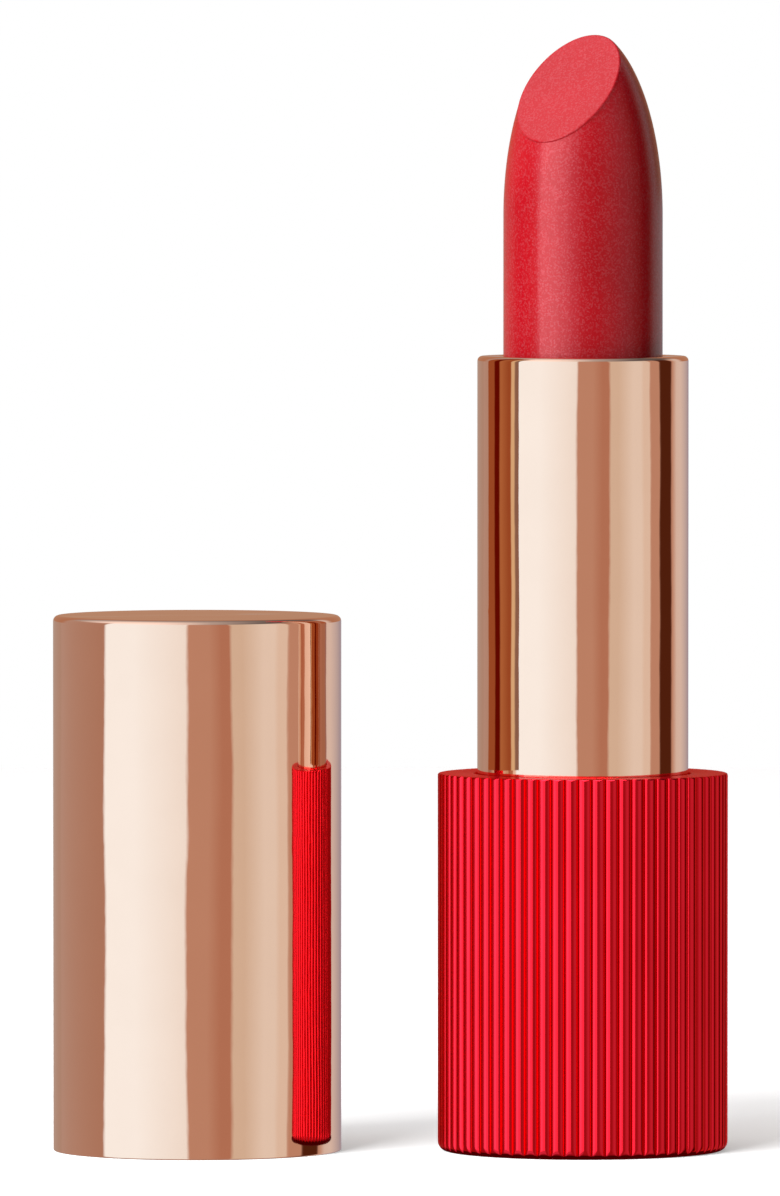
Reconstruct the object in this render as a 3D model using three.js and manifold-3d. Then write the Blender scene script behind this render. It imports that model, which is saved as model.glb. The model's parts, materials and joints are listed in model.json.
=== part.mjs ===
// A twist-up lipstick, standing open: a ribbed base that holds the mechanism, the bullet wound up
// through its polished tube, and the cap lifted off and stood beside it, mouth down.
// Millimetres, +Z up. The origin is the middle of the base's foot, on the axis of the tube.

import * as THREE from 'three';
import { mergeVertices } from 'three/addons/utils/BufferGeometryUtils.js';
import Module from 'manifold-3d';

const wasm = await Module();
wasm.setup();

// ---------------------------------------------------------------- driving dimensions

// Bullet of lipstick
const bulletRadius = 6.05;
const bulletExposed = 24.4; // tip above the tube's mouth, wound up
const tipRecess = 1.6; // tip below the tube's mouth, wound down
const noseLength = 14.2; // half-height of the ellipse that rounds the nose
const cutAngle = THREE.MathUtils.degToRad(48); // from the horizontal
const cutReach = 1.6; // from the axis to the cut's top edge, which is the bullet's tip
const cutBearing = THREE.MathUtils.degToRad(-124); // the way the cut face looks

// Cup that carries the bullet
const cupDepth = 8.5;
const cupWall = 0.38;
const cupFloor = 0.9;
const lugRadius = 0.95;

// Guide tube, fixed in the base
const guideWall = 0.48;
const socketDepth = 8.6; // how deep it stands in the base insert
const flangeThickness = 0.8;
const snapRingHeight = 0.6;
const snapRingWidth = 0.5;

// Turning tube and its spiral sleeve
const spiralWall = 0.54;
const shellWall = 0.35;
const shellLip = 0.55; // thickness of the turned-in lip
const shellEdge = 0.38; // rounding of the tube's mouth
const turnsToRetract = 1.25;
const endRoom = 3; // length of the tube beyond the cup and its travel

// Base
const baseHeight = 28.7;
const rimWidth = 2.76; // from the well to the rib crests
const ribCount = 66;
const ribDepth = 0.3;
const sleeveWall = 0.8; // behind the rib valleys
const rimThickness = 1.2;
const wellDepth = 5.8; // how deep the turning tube stands in the base
const footInset = 0.65; // chamfer round the foot
const footRise = 0.7;
const rimBevel = 0.15;
const footDiscThickness = 1.2;
const insertFloor = 1.2;
const baseWeightRadius = 7.5;

// Cap
const capWall = 0.5;
const capRoof = 0.6;
const capEdge = 0.45; // rounding of the closed end
const capStep = 0.08; // the cap is this much slimmer than the rib crests
const capHeadroom = 4.9; // over the tube's mouth when the cap is on
const capWeightThickness = 2.4;
const linerWall = 0.8;
const linerRoof = 1;
const linerFlange = 0.9;
const linerRecess = 0.1; // the liner's mouth, inside the cap's
const finCount = 8;
const finWidth = 0.8;
const gripCount = 6;
const gripWidth = 1.2;
const standApart = 7.32; // from the base to the cap that stands beside it

// Clearances
const waxFit = 0.03; // bullet in cup
const slideFit = 0.07; // cup in guide tube
const turnFit = 0.07; // guide tube in spiral sleeve
const pressFit = 0.05; // between pieces that are pressed together
const stackGap = 0.05; // between pieces that stand on each other
const lugFit = 0.12; // lug in its slots
const wellGap = 0.25; // turning tube in the base's well
const gripFit = 0.1; // grip ribs round the tube
const linerFit = 0.28; // liner round the tube
const bearingGap = 0.35; // lip over cup, and tube over flange

// Facets
const sides = 60; // round the mechanism and the cap
const ribSteps = 4; // round each rib
const edgeSteps = 3; // round each rounded edge
const waxSides = 48;

// ---------------------------------------------------------------- derived sizes

const cupBore = bulletRadius + waxFit;
const cupRadius = cupBore + cupWall;
const guideBore = cupRadius + slideFit;
const guideRadius = guideBore + guideWall;
const spiralBore = guideRadius + turnFit;
const spiralRadius = spiralBore + spiralWall;
const shellBore = spiralRadius + pressFit;
const shellRadius = shellBore + shellWall;
const lipRadius = cupBore + 0.2; // the lip stands out over the cup's rim
const wellRadius = shellRadius + wellGap;
const baseRadius = wellRadius + rimWidth;
const sleeveBore = baseRadius - ribDepth - sleeveWall;
const insertRadius = sleeveBore - pressFit;

const travel = bulletExposed + tipRecess;
const shellLength = travel + cupDepth + endRoom;
const shellBottom = baseHeight - wellDepth;
const shellTop = shellBottom + shellLength;
const shellExposed = shellTop - baseHeight;
const cupBottom = shellTop - shellLip - bearingGap - cupDepth; // wound up
const lugHeight = lugRadius + stackGap; // of the lug's axis above the cup's bottom

const flangeTop = shellBottom - bearingGap;
const wellFloor = flangeTop - flangeThickness - stackGap;
const socketFloor = wellFloor - socketDepth;
const guideBottom = socketFloor + stackGap;
const guideTop = shellTop - shellLip - bearingGap / 2;

const dragRingRadius = (shellBore - guideRadius) / 2 - pressFit; // of its round section
const dragRingHeight = flangeTop + dragRingRadius + stackGap;
const spiralBottom = dragRingHeight + dragRingRadius + stackGap;
const snapRingBottom = guideTop - snapRingHeight;
const spiralTop = snapRingBottom - stackGap;

const capRadius = baseRadius - capStep;
const capBore = capRadius - capWall;
const linerBore = shellRadius + linerFit;
const linerRadius = linerBore + linerWall;
const linerRoofBottom = shellExposed + capHeadroom;
const capWeightBottom = linerRoofBottom + linerRoof + stackGap;
const capRoofBottom = capWeightBottom + capWeightThickness + stackGap;
const capLength = capRoofBottom + capRoof;

// ---------------------------------------------------------------- finishes

function finish(color, roughness, metalness) {
  return new THREE.MeshStandardMaterial({ color, roughness, metalness });
}

const redAnodised = finish('#c81c2b', 0.35, 0.9);
const roseGold = finish('#e3b79c', 0.08, 1);
const wax = finish('#b9252d', 0.4, 0);
const whiteAcetal = finish('#ece9e2', 0.4, 0);
const blackPlastic = finish('#232225', 0.5, 0);
const steel = finish('#8f9397', 0.35, 1);
const silicone = finish('#d9dad6', 0.6, 0);

// ---------------------------------------------------------------- solids

// Merges shared vertices and drops the slivers that a lathe leaves on its axis.
function closed(geometry) {
  geometry.deleteAttribute('normal');
  geometry.deleteAttribute('uv');
  const merged = mergeVertices(geometry, 1e-4);
  const index = [...merged.index.array];
  const kept = [];
  for (let i = 0; i < index.length; i += 3) {
    const [a, b, c] = index.slice(i, i + 3);
    if (a !== b && b !== c && c !== a) kept.push(a, b, c);
  }
  merged.setIndex(kept);
  return merged;
}

function toSolid(geometry) {
  return new wasm.Manifold(new wasm.Mesh({
    numProp: 3,
    vertProperties: new Float32Array(geometry.attributes.position.array),
    triVerts: new Uint32Array(geometry.index.array),
  }));
}

function fromSolid(solid) {
  const { vertProperties, triVerts } = solid.getMesh();
  const geometry = new THREE.BufferGeometry();
  geometry.setAttribute('position', new THREE.BufferAttribute(vertProperties, 3));
  geometry.setIndex(new THREE.BufferAttribute(triVerts, 1));
  return geometry;
}

// Turns an outline of [radius, height] points, walked with the material on its left, about +Z.
function turned(outline, around = sides) {
  const points = outline.map(([radius, height]) => new THREE.Vector2(radius, height));
  return closed(new THREE.LatheGeometry(points, around).rotateX(Math.PI / 2));
}

// Points of an arc about [radius, height], in degrees from the outward direction.
function arc([radius, height], size, from, to, steps = edgeSteps) {
  return Array.from({ length: steps + 1 }, (_, i) => {
    const angle = THREE.MathUtils.degToRad(from + (to - from) * i / steps);
    return [radius + size * Math.cos(angle), height + size * Math.sin(angle)];
  });
}

function ring(inner, outer, height) {
  return turned([[inner, 0], [outer, 0], [outer, height], [inner, height], [inner, 0]]);
}

function disc(radius, height) {
  return turned([[0, 0], [radius, 0], [radius, height], [0, height]]);
}

// A block that runs outward from the axis, between two radii, turned to its place.
function spoke(inner, outer, width, height, angle) {
  const block = new THREE.BoxGeometry(outer - inner, width, height);
  block.translate((inner + outer) / 2, 0, height / 2).rotateZ(angle);
  return closed(block);
}

// How far out a flat-ended block may reach before its corners touch a bore.
function reachInside(bore, width) {
  return Math.sqrt(bore ** 2 - (width / 2) ** 2) - pressFit;
}

// ---------------------------------------------------------------- base

function baseSleeve() {
  const outline = new THREE.Shape();
  for (let i = 0; i < ribCount * ribSteps; i += 1) {
    const acrossRib = 2 * (i % ribSteps) / ribSteps - 1; // -1 in a valley, 0 on the crest
    const radius = baseRadius - ribDepth * acrossRib ** 2;
    const angle = 2 * Math.PI * i / (ribCount * ribSteps);
    const point = [radius * Math.cos(angle), radius * Math.sin(angle)];
    if (i === 0) outline.moveTo(...point);
    else outline.lineTo(...point);
  }
  const ribbed = new THREE.ExtrudeGeometry(outline, { depth: baseHeight, bevelEnabled: false });

  const outside = baseRadius + ribDepth; // clear of the crests
  const chamfered = turned([
    [sleeveBore, 0],
    [baseRadius - footInset, 0],
    [outside, footRise * (footInset + ribDepth) / footInset],
    [outside, baseHeight - rimBevel - ribDepth],
    [baseRadius - rimBevel, baseHeight],
    [wellRadius, baseHeight],
    [wellRadius, baseHeight - rimThickness],
    [sleeveBore, baseHeight - rimThickness],
    [sleeveBore, 0],
  ], ribCount * 2);
  return fromSolid(toSolid(closed(ribbed)).intersect(toSolid(chamfered)));
}

function baseInsert() {
  const bottom = footDiscThickness + stackGap;
  const top = baseHeight - rimThickness - stackGap;
  const pocket = baseWeightRadius + pressFit;
  const socket = guideRadius + pressFit;
  return turned([
    [0, socketFloor - insertFloor],
    [pocket, socketFloor - insertFloor],
    [pocket, bottom],
    [insertRadius, bottom],
    [insertRadius, top],
    [wellRadius, top],
    [wellRadius, wellFloor],
    [socket, wellFloor],
    [socket, socketFloor],
    [0, socketFloor],
  ]);
}

function guideTube() {
  const flangeRadius = shellRadius - wellGap;
  const tube = turned([
    [guideBore, guideBottom],
    [guideRadius, guideBottom],
    [guideRadius, flangeTop - flangeThickness],
    [flangeRadius, flangeTop - flangeThickness],
    [flangeRadius, flangeTop],
    [guideRadius, flangeTop],
    [guideRadius, guideTop],
    [guideBore, guideTop],
    [guideBore, guideBottom],
  ]);
  const slotEnd = lugRadius + lugFit;
  const slots = new THREE.BoxGeometry(2 * slotEnd, 4 * guideRadius, travel + 2 * slotEnd);
  slots.translate(0, 0, cupBottom + lugHeight - travel / 2);
  return fromSolid(toSolid(tube).subtract(toSolid(closed(slots))));
}

function dragRing() {
  const centre = [(guideRadius + shellBore) / 2, 0];
  return turned(arc(centre, dragRingRadius, 0, 360, 8), waxSides);
}

// ---------------------------------------------------------------- turning parts

function shellTube() {
  const length = shellLength;
  return turned([
    [shellBore, 0],
    [shellRadius, 0],
    ...arc([shellRadius - shellEdge, length - shellEdge], shellEdge, 0, 90),
    [lipRadius, length],
    [lipRadius, length - shellLip],
    [shellBore, length - shellLip],
    [shellBore, 0],
  ]);
}

// Two slots wind up the sleeve like the thread of a screw, each wide enough for a round lug.
function spiralSleeve() {
  const rise = travel / (turnsToRetract * 2 * Math.PI); // per radian
  const middle = (spiralBore + spiralRadius) / 2;
  const slope = Math.atan2(rise, middle);
  const halfWidth = (lugRadius + lugFit) / Math.sin(slope) / middle; // as an angle
  const inner = spiralBore - spiralWall;
  const outer = spiralRadius + spiralWall;
  const slotLength = travel + 2 * (lugRadius + lugFit);
  const slotBottom = cupBottom + lugHeight - travel - lugRadius - lugFit - spiralBottom;

  let sleeve = toSolid(ring(spiralBore, spiralRadius, spiralTop - spiralBottom));
  for (const lugAngle of [Math.PI / 2, -Math.PI / 2]) {
    const wedge = new THREE.Shape();
    wedge.absarc(0, 0, outer, -halfWidth, halfWidth, false);
    wedge.absarc(0, 0, inner, halfWidth, -halfWidth, true);
    const slot = new THREE.ExtrudeGeometry(wedge, {
      depth: slotLength,
      steps: Math.round(slotLength / rise / (2 * Math.PI / 30)),
      curveSegments: 5,
      bevelEnabled: false,
    });
    const place = slot.attributes.position;
    for (let i = 0; i < place.count; i += 1) {
      const belowTop = slotLength - lugRadius - lugFit - place.getZ(i);
      const point = new THREE.Vector3().fromBufferAttribute(place, i);
      point.applyAxisAngle(new THREE.Vector3(0, 0, 1), lugAngle - belowTop / rise);
      place.setXYZ(i, point.x, point.y, point.z + slotBottom);
    }
    sleeve = sleeve.subtract(toSolid(closed(slot)));
  }
  return fromSolid(sleeve);
}

// ---------------------------------------------------------------- rising parts

function bulletCup() {
  let cup = toSolid(turned([
    [0, 0],
    [cupRadius, 0],
    [cupRadius, cupDepth],
    [cupBore, cupDepth],
    [cupBore, cupFloor],
    [0, cupFloor],
  ]));
  const lugStart = cupBore + waxFit;
  const lugLength = spiralRadius - lugFit - lugStart;
  for (const side of [1, -1]) {
    const lug = new THREE.CylinderGeometry(lugRadius, lugRadius, lugLength, 16);
    lug.translate(0, side * (lugStart + lugLength / 2), lugHeight);
    cup = cup.add(toSolid(closed(lug)));
  }
  return fromSolid(cup);
}

function bullet() {
  const tip = shellTop + bulletExposed - cupBottom - cupFloor - stackGap; // above its own bottom
  const shoulder = tip - noseLength * Math.sqrt(1 - (cutReach / bulletRadius) ** 2);
  const noseSteps = 12;
  const nose = Array.from({ length: noseSteps + 1 }, (_, i) => {
    const angle = Math.PI / 2 * i / noseSteps;
    return [bulletRadius * Math.cos(angle), shoulder + noseLength * Math.sin(angle)];
  });
  nose[noseSteps][0] = 0;
  const cast = toSolid(turned([[0, 0], [bulletRadius, 0], ...nose], waxSides));

  // What the slant cut takes off is a block whose lower face passes the cut's top edge.
  const size = 4 * bulletRadius;
  const block = new THREE.BoxGeometry(2 * size, 2 * size, size);
  block.translate(0, 0, size / 2).rotateY(cutAngle);
  block.translate(-cutReach, 0, tip).rotateZ(cutBearing);
  return fromSolid(cast.subtract(toSolid(closed(block))));
}

// ---------------------------------------------------------------- cap

function capShell() {
  return turned([
    [0, capRoofBottom],
    [capBore, capRoofBottom],
    [capBore, 0],
    [capRadius, 0],
    ...arc([capRadius - capEdge, capLength - capEdge], capEdge, 0, 90),
    [0, capLength],
  ]);
}

function capLiner() {
  const roofTop = linerRoofBottom + linerRoof;
  const flangeRadius = capBore - pressFit;
  let liner = toSolid(turned([
    [0, linerRoofBottom],
    [linerBore, linerRoofBottom],
    [linerBore, linerRecess],
    [flangeRadius, linerRecess],
    [flangeRadius, linerRecess + linerFlange],
    [linerRadius, linerRecess + linerFlange],
    [linerRadius, roofTop],
    [0, roofTop],
  ]));
  for (let i = 0; i < finCount; i += 1) {
    const reach = reachInside(capBore, finWidth);
    const fin = spoke(linerRadius - linerWall / 2, reach, finWidth, roofTop - linerRecess,
      2 * Math.PI * i / finCount);
    liner = liner.add(toSolid(fin.translate(0, 0, linerRecess)));
  }
  for (let i = 0; i < gripCount; i += 1) {
    const rib = spoke(shellRadius + gripFit, linerBore + linerWall / 2, gripWidth,
      shellExposed - linerFlange, 2 * Math.PI * i / gripCount);
    liner = liner.add(toSolid(rib.translate(0, 0, linerRecess + linerFlange)));
  }
  return fromSolid(liner);
}

// ---------------------------------------------------------------- assembly

const lipstick = new THREE.Group();

function assembly(x, z) {
  const group = new THREE.Group();
  group.position.set(x, 0, z);
  lipstick.add(group);
  return group;
}

function addPiece(group, name, geometry, material, height = 0) {
  const mesh = new THREE.Mesh(geometry, material);
  mesh.name = name;
  mesh.position.z = height;
  group.add(mesh);
}

const base = assembly(0, 0);
const baseWeightBottom = footDiscThickness + stackGap;
const baseWeightTop = socketFloor - insertFloor - stackGap;
addPiece(base, 'base_sleeve', baseSleeve(), redAnodised);
addPiece(base, 'base_insert', baseInsert(), blackPlastic);
addPiece(base, 'base_weight', disc(baseWeightRadius, baseWeightTop - baseWeightBottom), steel,
  baseWeightBottom);
addPiece(base, 'foot_disc', disc(insertRadius, footDiscThickness), blackPlastic);
addPiece(base, 'guide_tube', guideTube(), whiteAcetal);
addPiece(base, 'drag_ring', dragRing(), silicone, dragRingHeight);
addPiece(base, 'snap_ring',
  ring(guideRadius + pressFit / 2, guideRadius + snapRingWidth, snapRingHeight), whiteAcetal,
  snapRingBottom);

const turning = assembly(0, shellBottom);
addPiece(turning, 'shell_tube', shellTube(), roseGold);
addPiece(turning, 'spiral_sleeve', spiralSleeve(), whiteAcetal, spiralBottom - shellBottom);

const rising = assembly(0, cupBottom);
addPiece(rising, 'bullet_cup', bulletCup(), whiteAcetal);
addPiece(rising, 'bullet', bullet(), wax, cupFloor + stackGap);

const cap = assembly(-(baseRadius + standApart + capRadius), 0);
addPiece(cap, 'cap_shell', capShell(), roseGold);
addPiece(cap, 'cap_liner', capLiner(), blackPlastic);
addPiece(cap, 'cap_weight', disc(capBore - pressFit, capWeightThickness), steel, capWeightBottom);

export default lipstick;
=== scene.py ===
# %% [markdown]
# # A twist-up lipstick, wound up, with its cap stood beside it
#
# The CAD model fixes every size and every place. This lesson gives each of its fourteen pieces a
# finer mesh and the finish of the stuff that it is made of, then lights them in a small studio.
# A real lipstick case is nearly all turned, drawn or moulded round an axis, so nearly every piece
# here starts as an outline that is spun about that axis.

import json
import math
from collections import namedtuple

import bmesh
import bpy
from mathutils import Matrix, Vector


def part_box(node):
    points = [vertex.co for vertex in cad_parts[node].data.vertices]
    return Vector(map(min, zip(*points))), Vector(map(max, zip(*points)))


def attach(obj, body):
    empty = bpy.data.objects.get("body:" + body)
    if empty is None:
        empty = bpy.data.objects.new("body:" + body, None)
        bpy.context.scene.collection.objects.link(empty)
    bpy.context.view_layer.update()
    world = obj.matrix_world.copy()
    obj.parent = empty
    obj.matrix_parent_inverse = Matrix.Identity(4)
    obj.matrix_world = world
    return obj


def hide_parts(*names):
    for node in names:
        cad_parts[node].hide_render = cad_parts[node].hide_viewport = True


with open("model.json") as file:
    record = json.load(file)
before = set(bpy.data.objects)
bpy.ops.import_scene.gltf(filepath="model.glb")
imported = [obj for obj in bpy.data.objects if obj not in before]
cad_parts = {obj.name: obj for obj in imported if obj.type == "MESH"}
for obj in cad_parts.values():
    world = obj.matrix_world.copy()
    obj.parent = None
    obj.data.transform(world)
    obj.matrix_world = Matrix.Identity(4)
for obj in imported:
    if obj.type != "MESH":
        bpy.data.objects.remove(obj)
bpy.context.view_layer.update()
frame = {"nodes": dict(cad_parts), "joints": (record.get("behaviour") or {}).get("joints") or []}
print("CAD pieces:", ", ".join(sorted(frame["nodes"])))

# %% [markdown]
# ## Working sizes
#
# Blender counts in metres and a lipstick is measured in millimetres. The outlines are written in
# millimetres, because a maker thinks in them, and each mesh is scaled once, when it is finished.
# The outer sizes are read from the CAD pieces. Only walls and bores, which a box can't tell, are
# written here.

# %% Outer sizes, read from the frame
MM = 0.001
Turned = namedtuple("Turned", "middle radius bottom top")


def measured(node):
    """Where a round CAD piece stands: its axis along X, its radius, bottom and top, in millimetres."""
    low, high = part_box(node)
    middle = (low.x + high.x) / 2 / MM
    radius = (high.y - low.y) / 2 / MM
    return Turned(middle, radius, low.z / MM, high.z / MM)


size = {node: measured(node) for node in frame["nodes"]}
sleeve = size["base_sleeve"]
tube = size["shell_tube"]
cap = size["cap_shell"]
wax = size["bullet"]
print(f"base {2 * sleeve.radius:.2f} across, tube {2 * tube.radius:.2f}, cap {2 * cap.radius:.2f} mm")

# %% Bores and walls, in millimetres
RIBS = 66
RIB_DEPTH = 0.3
SLEEVE_BORE = 9.93
RIM_THICKNESS = 1.2
WELL_RADIUS = 8.27
WELL_FLOOR = 21.7
SOCKET_RADIUS = 7.06
SOCKET_FLOOR = 13.1
WEIGHT_POCKET = 7.55
TUBE_BORE = 7.67
LIP_RADIUS = 6.28
LIP_THICKNESS = 0.55
CUP_BORE = 6.08
CUP_FLOOR = 0.9
GUIDE_BORE = 6.53
SPIRAL_BORE = 7.08
SNAP_BORE = 7.035
DRAG_RING_THICKNESS = 0.56
CAP_WALL = 0.5
CAP_ROOF = 0.6
LINER_BORE = 8.3
LINER_RADIUS = 9.1
LINER_ROOF = 1.0
LINER_FLANGE = 0.9
GRIP_REACH = 8.12
GRIP_LENGTH = 30.8
FIN_REACH = 10.4

# %% [markdown]
# ## Finishes
#
# A finish is a node material. Every one starts from what the real stuff is and how its surface was
# made, and reads Object coordinates, so its pattern sits still on the piece whatever its faces are.
# One function adds a node with its settings and its links, which keeps each finish short enough
# to read at a glance.

# %% Colours and nodes
def linear(hex_colour):
    """An sRGB hex colour as the linear light that the shaders work in."""
    channels = [int(hex_colour[i:i + 2], 16) / 255 for i in (1, 3, 5)]
    return [c / 12.92 if c <= 0.04045 else ((c + 0.055) / 1.055) ** 2.4 for c in channels] + [1]


def add(tree, kind, settings=None, links=None):
    """Adds a node. A setting or link names an input, by name or number, or else a property.
    'stops' sets a colour ramp as (place, hex) pairs."""
    node = tree.nodes.new("ShaderNode" + kind)
    for name, value in (settings or {}).items():
        if name == "stops":
            ramp = node.color_ramp.elements
            while len(ramp) < len(value):
                ramp.new(1)
            for element, (place, colour) in zip(ramp, value):
                element.position = place
                element.color = linear(colour)
        elif isinstance(name, int) or name in node.inputs:
            node.inputs[name].default_value = value
        else:
            setattr(node, name, value)
    for name, socket in (links or {}).items():
        tree.links.new(node.inputs[name], socket)
    return node


def start_finish(name):
    """A new finish: its node tree, and the place on the piece in millimetres."""
    material = bpy.data.materials.new(name)
    material.use_nodes = True
    tree = material.node_tree
    tree.nodes.clear()
    place = add(tree, "TexCoord").outputs["Object"]
    scaled = add(tree, "Mapping", {"Scale": (1 / MM,) * 3}, {"Vector": place})
    return material, tree, scaled.outputs["Vector"]


def end_finish(material, tree, settings, links):
    """Puts the surface on the finish, and hands the finish back."""
    surface = add(tree, "BsdfPrincipled", settings, links)
    add(tree, "OutputMaterial", {}, {"Surface": surface.outputs["BSDF"]})
    return material


# %% [markdown]
# ### Polished, anodised aluminium
#
# The tube and the cap are deep-drawn aluminium, polished, then dyed rose gold in the anodising
# bath. What the eye reads is almost only reflection, so a clean metal with a low roughness does
# the work. Drawing leaves the wall very slightly uneven along its length, and that makes the edges
# of the reflections waver. A long, shallow bump gives that: its waves are 8 mm apart round the
# tube and 18 mm along it. A much finer one, of 0.7 mm, takes the last sharpness off those edges.

# %% Rose gold
def polished_rose_gold():
    material, tree, where = start_finish("rose_gold_anodised_polished")
    stretched = add(tree, "Mapping", {"Scale": (1, 1, 0.45)}, {"Vector": where}).outputs["Vector"]
    wander = add(tree, "TexNoise", {"Scale": 1 / 8, "Detail": 1.0}, {"Vector": stretched})
    ripple = add(tree, "TexNoise", {"Scale": 1 / 0.7, "Detail": 1.0}, {"Vector": stretched})
    fine = add(tree, "Bump", {"Distance": 0.0025 * MM, "Strength": 1.0},
               {"Height": ripple.outputs["Fac"]})
    drawn = add(tree, "Bump", {"Distance": 0.13 * MM, "Strength": 1.0},
                {"Height": wander.outputs["Fac"], "Normal": fine.outputs["Normal"]})
    smudge = add(tree, "TexNoise", {"Scale": 1 / 4, "Detail": 4.0}, {"Vector": where})
    gloss = add(tree, "MapRange", {"To Min": 0.015, "To Max": 0.05},
                {"Value": smudge.outputs["Fac"]})
    dye = add(tree, "ValToRGB", {"stops": [(0.3, "#eec4ae"), (0.7, "#f0c6b0")]},
              {"Fac": smudge.outputs["Fac"]})
    return end_finish(material, tree, {"Metallic": 1.0}, {
        "Base Color": dye.outputs["Color"],
        "Roughness": gloss.outputs["Result"],
        "Normal": drawn.outputs["Normal"],
    })


rose_gold = polished_rose_gold()

# %% [markdown]
# ### Red anodised aluminium
#
# The ribbed sleeve is aluminium too, dyed red. Anodising leaves a thin clear oxide over the dyed
# metal, and that layer has a gloss of its own, which stays white while the metal under it only
# reflects red. So the finish is a red metal with a thin coat. Etching before the dye leaves a very
# fine grain, 0.15 mm across and too shallow to feel, which shows only as a small change of gloss.
# The flat of the rim is faced on the lathe last, and stays duller than the ribs.

# %% Red sleeve
def anodised_red():
    material, tree, where = start_finish("red_anodised_etched")
    grain = add(tree, "TexNoise", {"Scale": 1 / 0.15, "Detail": 1.0}, {"Vector": where})
    bath = add(tree, "TexNoise", {"Scale": 1 / 9, "Detail": 3.0}, {"Vector": where})
    dye = add(tree, "ValToRGB", {"stops": [(0.3, "#cd1424"), (0.7, "#d31628")]},
              {"Fac": bath.outputs["Fac"]})
    gloss = add(tree, "MapRange", {"To Min": 0.1, "To Max": 0.16},
                {"Value": grain.outputs["Fac"]})
    height = add(tree, "SeparateXYZ", {}, {"Vector": where}).outputs["Z"]
    faced = add(tree, "MapRange", {"From Min": sleeve.top - 0.03, "From Max": sleeve.top - 0.005,
                                   "To Min": 0.0, "To Max": 0.2}, {"Value": height})
    dull = add(tree, "Math", {"operation": "ADD"}, {0: gloss.outputs["Result"],
                                                    1: faced.outputs["Result"]})
    return end_finish(material, tree, {
        "Metallic": 1.0,
        "Specular Tint": linear("#ff3540"),
        "Coat Weight": 0.12,
        "Coat IOR": 1.4,
        "Coat Roughness": 0.12,
    }, {
        "Base Color": dye.outputs["Color"],
        "Roughness": dull.outputs[0],
    })


red_anodised = anodised_red()

# %% [markdown]
# ### Lipstick wax
#
# The bullet is pigmented wax and oil, cast in a metal mould and flamed, so its skin is satin. Light
# sinks in a little and comes out red, which subsurface scattering gives. The mica in it shows as
# a fine pearl: tiny flat flakes, paler than the wax, that each tip the reflection their own way. A
# cell texture with cells of 0.11 mm stands for them, a little coarser than real mica so that it
# shows, and only the lightest cells turn metallic.

# %% Wax
def pearl_wax():
    material, tree, where = start_finish("lipstick_wax_pearl")
    flakes = add(tree, "TexVoronoi", {"Scale": 1 / 0.11}, {"Vector": where})
    grey = add(tree, "RGBToBW", {}, {"Color": flakes.outputs["Color"]})
    tipped = add(tree, "Bump", {"Distance": 0.004 * MM, "Strength": 0.6},
                 {"Height": grey.outputs["Val"]})
    pearl = add(tree, "MapRange", {"From Min": 0.5, "From Max": 0.85, "To Min": 0.0,
                                   "To Max": 0.14}, {"Value": grey.outputs["Val"]})
    pour = add(tree, "TexNoise", {"Scale": 1 / 5, "Detail": 3.0}, {"Vector": where})
    pigment = add(tree, "ValToRGB", {"stops": [(0.35, "#a60b18"), (0.65, "#ac0c1a")]},
                  {"Fac": pour.outputs["Fac"]})
    # A colour Mix node takes its two colours in sockets 6 and 7, and gives the result in socket 2.
    flecked = add(tree, "Mix", {"data_type": "RGBA", 7: linear("#e07a84")},
                  {"Factor": pearl.outputs["Result"], 6: pigment.outputs["Color"]})
    return end_finish(material, tree, {
        "Roughness": 0.2,
        "IOR": 1.42,
        "Specular IOR Level": 0.29,
        "Subsurface Weight": 0.12,
        "Subsurface Radius": (1.0, 0.25, 0.2),
        "Subsurface Scale": 0.9 * MM,
    }, {
        "Base Color": flecked.outputs[2],
        "Metallic": pearl.outputs["Result"],
        "Normal": tipped.outputs["Normal"],
    })


lipstick_wax = pearl_wax()

# %% [markdown]
# ### Moulded plastics
#
# The mechanism is moulded in white acetal, which slides without grease, and the holders are black
# ABS. A mould's spark-eroded steel leaves a grain of about 0.15 mm on black parts that don't slide.
# Acetal is left smooth, and its slight translucency keeps it from looking like paint.

# %% Plastics
def moulded(name, light, dark, grain_size, grain_depth, settings):
    material, tree, where = start_finish(name)
    grain = add(tree, "TexNoise", {"Scale": 1 / grain_size, "Detail": 2.0}, {"Vector": where})
    eroded = add(tree, "Bump", {"Distance": grain_depth * MM, "Strength": 0.6},
                 {"Height": grain.outputs["Fac"]})
    flow = add(tree, "TexNoise", {"Scale": 1 / 6, "Detail": 2.0}, {"Vector": where})
    colour = add(tree, "ValToRGB", {"stops": [(0.3, dark), (0.7, light)]},
                 {"Fac": flow.outputs["Fac"]})
    return end_finish(material, tree, settings, {
        "Base Color": colour.outputs["Color"],
        "Normal": eroded.outputs["Normal"],
    })


white_acetal = moulded("white_acetal_moulded", "#efece5", "#e9e5dc", 0.5, 0.002, {
    "Roughness": 0.34,
    "IOR": 1.48,
    "Subsurface Weight": 0.2,
    "Subsurface Radius": (1.0, 0.9, 0.8),
    "Subsurface Scale": 0.6 * MM,
})
black_plastic = moulded("black_abs_spark_eroded", "#232226", "#1d1c20", 0.15, 0.012, {
    "Roughness": 0.48,
    "IOR": 1.54,
})
silicone = moulded("silicone_rubber_moulded", "#dcddd8", "#d2d3ce", 0.3, 0.006, {
    "Roughness": 0.5,
    "IOR": 1.41,
    "Subsurface Weight": 0.5,
    "Subsurface Radius": (1.0, 1.0, 0.95),
    "Subsurface Scale": 0.5 * MM,
})

# %% [markdown]
# ### Turned steel
#
# The two weights are cut from steel bar on a lathe, and the tool leaves fine rings. A wave texture
# in shells 0.75 mm apart stands for them, with a small bump. The shells are centred on the middle
# of the foot and of the cap's mouth, so the rings are wider on faces that are far from there.

# %% Steel
SHELL_PITCH = 0.754
WAVE_RADIANS = 20  # how much wave the texture makes in one unit


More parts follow.
